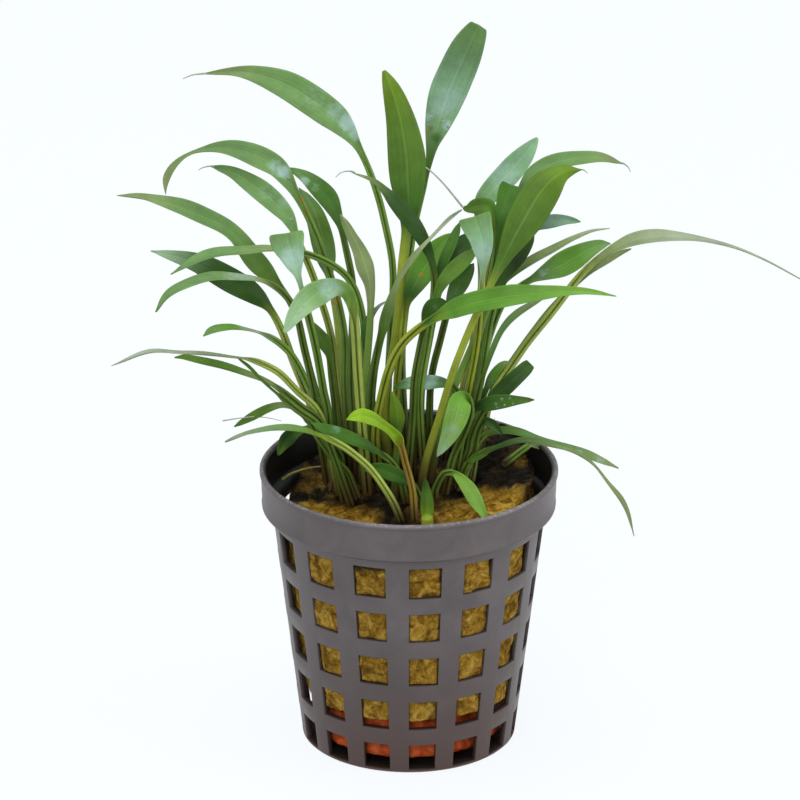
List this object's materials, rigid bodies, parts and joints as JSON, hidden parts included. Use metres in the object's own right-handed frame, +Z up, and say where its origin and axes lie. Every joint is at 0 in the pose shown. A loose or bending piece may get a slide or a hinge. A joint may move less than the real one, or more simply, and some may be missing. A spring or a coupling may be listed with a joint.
{
  "type": "potted cryptocoryne",
  "caption": "Aquarium plant with narrow pointed leaves on long thin stalks, growing in a plug of rock wool over baked clay in a round slatted net pot.",
  "frame": {"origin": "centre of the underside of the pot", "axes": "+Z up along the pot's axis, +X to the viewer's right and -Y towards the viewer of the picture"},
  "size_m": [0.1264, 0.075, 0.1301],
  "materials": {
    "pot_plastic": "dark grey moulded polypropylene, satin",
    "rock_wool": "matted ochre mineral fibre, dark with algae on top",
    "baked_clay": "rough orange-red baked clay",
    "leaf_pale": "leaf upper side with a pale bluish sheen, wet in places",
    "leaf_fresh": "mid green leaf, satin",
    "leaf_lime": "young yellow-green leaf, satin",
    "leaf_deep": "dark green leaf in the shade, glossy where wet",
    "leaf_olive": "leaf underside, olive green, satin"
  },
  "bodies": {
    "root": {"net_pot": "pot_plastic", "rock_wool": "rock_wool", "clay_base": "baked_clay", "leaf_01": "leaf_pale", "leaf_02": "leaf_olive", "leaf_03": "leaf_pale", "leaf_04": "leaf_pale", "leaf_05": "leaf_fresh", "leaf_06": "leaf_deep", "leaf_07": "leaf_olive", "leaf_08": "leaf_pale", "leaf_09": "leaf_fresh", "leaf_10": "leaf_deep", "leaf_11": "leaf_pale", "leaf_12": "leaf_pale", "leaf_13": "leaf_fresh", "leaf_14": "leaf_pale", "leaf_15": "leaf_fresh", "leaf_16": "leaf_pale", "leaf_17": "leaf_deep", "leaf_18": "leaf_pale", "leaf_19": "leaf_pale", "leaf_20": "leaf_pale", "leaf_21": "leaf_pale", "leaf_22": "leaf_olive", "leaf_23": "leaf_fresh", "leaf_24": "leaf_pale", "leaf_25": "leaf_deep", "leaf_26": "leaf_olive", "leaf_27": "leaf_fresh", "leaf_28": "leaf_olive", "leaf_29": "leaf_fresh", "leaf_30": "leaf_lime", "leaf_31": "leaf_deep", "leaf_32": "leaf_lime", "leaf_33": "leaf_deep", "leaf_34": "leaf_deep", "leaf_35": "leaf_olive", "leaf_36": "leaf_deep", "leaf_37": "leaf_deep", "leaf_38": "leaf_pale", "leaf_39": "leaf_fresh", "leaf_40": "leaf_lime", "leaf_41": "leaf_deep", "leaf_42": "leaf_fresh", "leaf_43": "leaf_fresh", "leaf_44": "leaf_fresh", "leaf_45": "leaf_deep", "leaf_46": "leaf_lime", "leaf_47": "leaf_fresh", "leaf_48": "leaf_fresh", "leaf_49": "leaf_olive", "leaf_50": "leaf_olive", "leaf_51": "leaf_deep", "leaf_52": "leaf_pale", "leaf_53": "leaf_deep", "leaf_54": "leaf_olive", "leaf_55": "leaf_deep", "leaf_56": "leaf_deep", "leaf_57": "leaf_fresh"}
  },
  "joints": []
}
